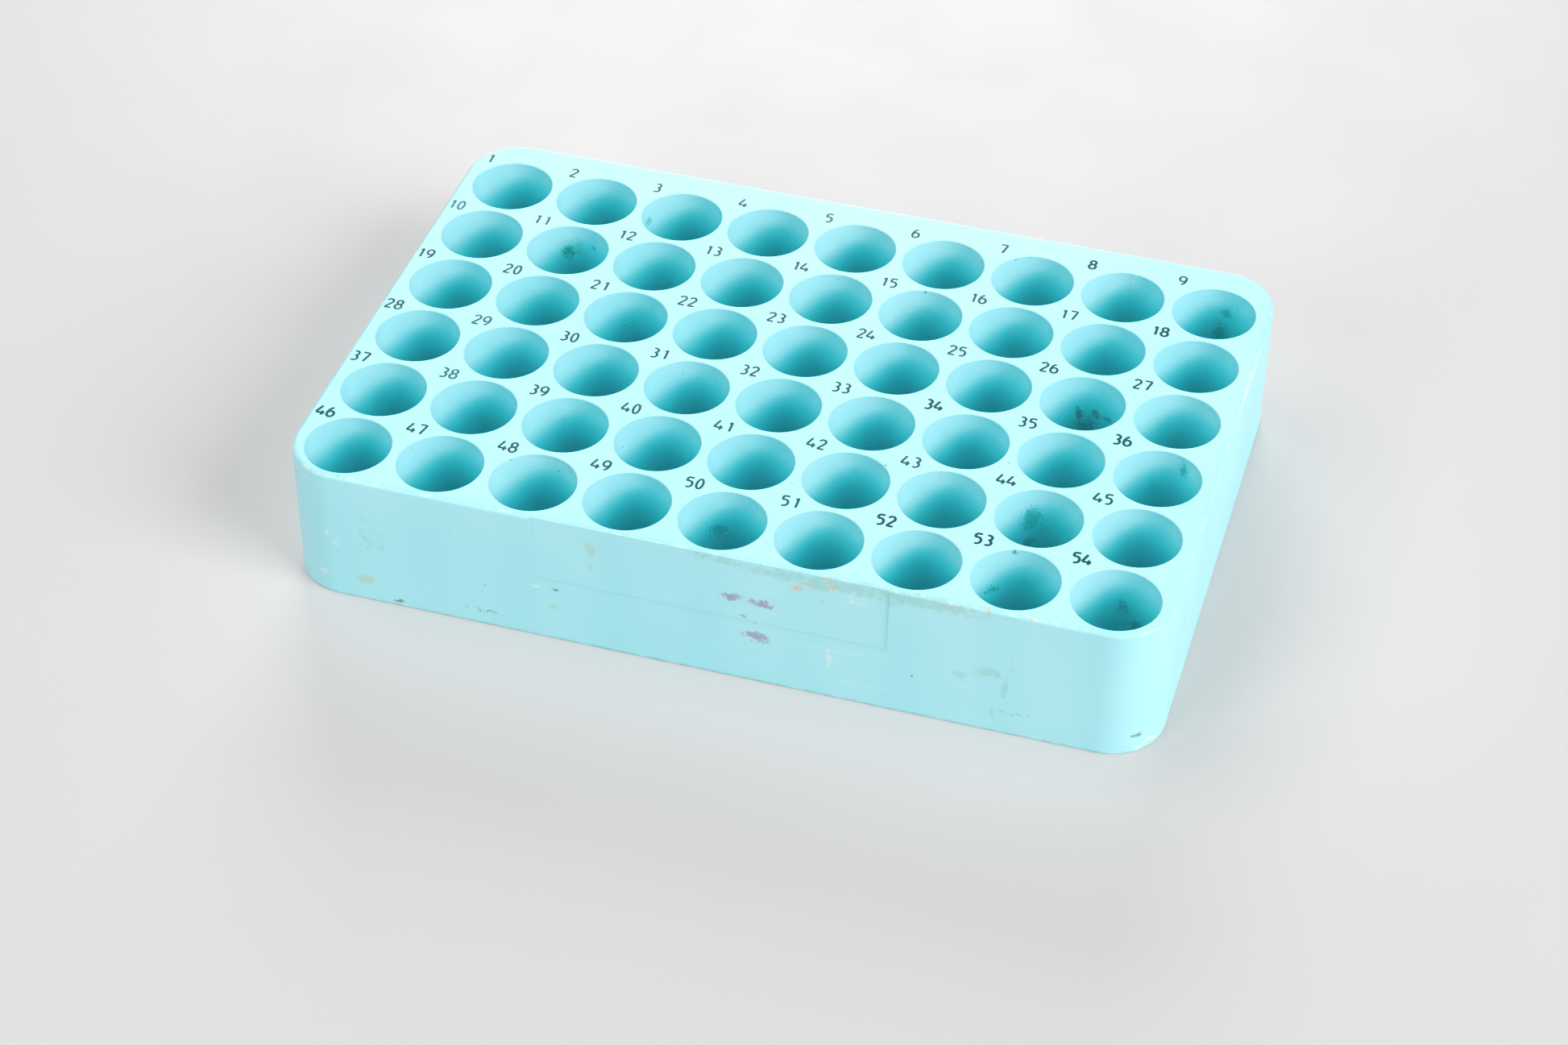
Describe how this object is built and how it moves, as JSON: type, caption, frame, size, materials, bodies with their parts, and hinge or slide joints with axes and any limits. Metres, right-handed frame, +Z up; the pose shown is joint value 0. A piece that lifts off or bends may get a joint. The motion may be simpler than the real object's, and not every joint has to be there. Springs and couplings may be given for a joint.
{
  "type": "sample tube rack",
  "caption": "Low block rack with a grid of round sockets for small sample tubes or vials, numbered places, a label recess at the front and a screwed base plate.",
  "frame": {"origin": "centre of the footprint, on the surface that the rack stands on", "axes": "+X along the rows of nine sockets, to the right as the front is faced; +Y from the front, which has the label recess, to the back; +Z up"},
  "size_m": [0.1278, 0.0854, 0.022],
  "materials": {
    "aqua_plastic": "satin",
    "plate_plastic": "satin",
    "screw_steel": "satin",
    "number_ink": "matte"
  },
  "bodies": {
    "root": {"rack_block": "aqua_plastic", "base_plate": "plate_plastic", "base_screw_1": "screw_steel", "base_screw_2": "screw_steel", "base_screw_3": "screw_steel", "base_screw_4": "screw_steel", "base_screw_5": "screw_steel", "base_screw_6": "screw_steel"}
  },
  "joints": []
}
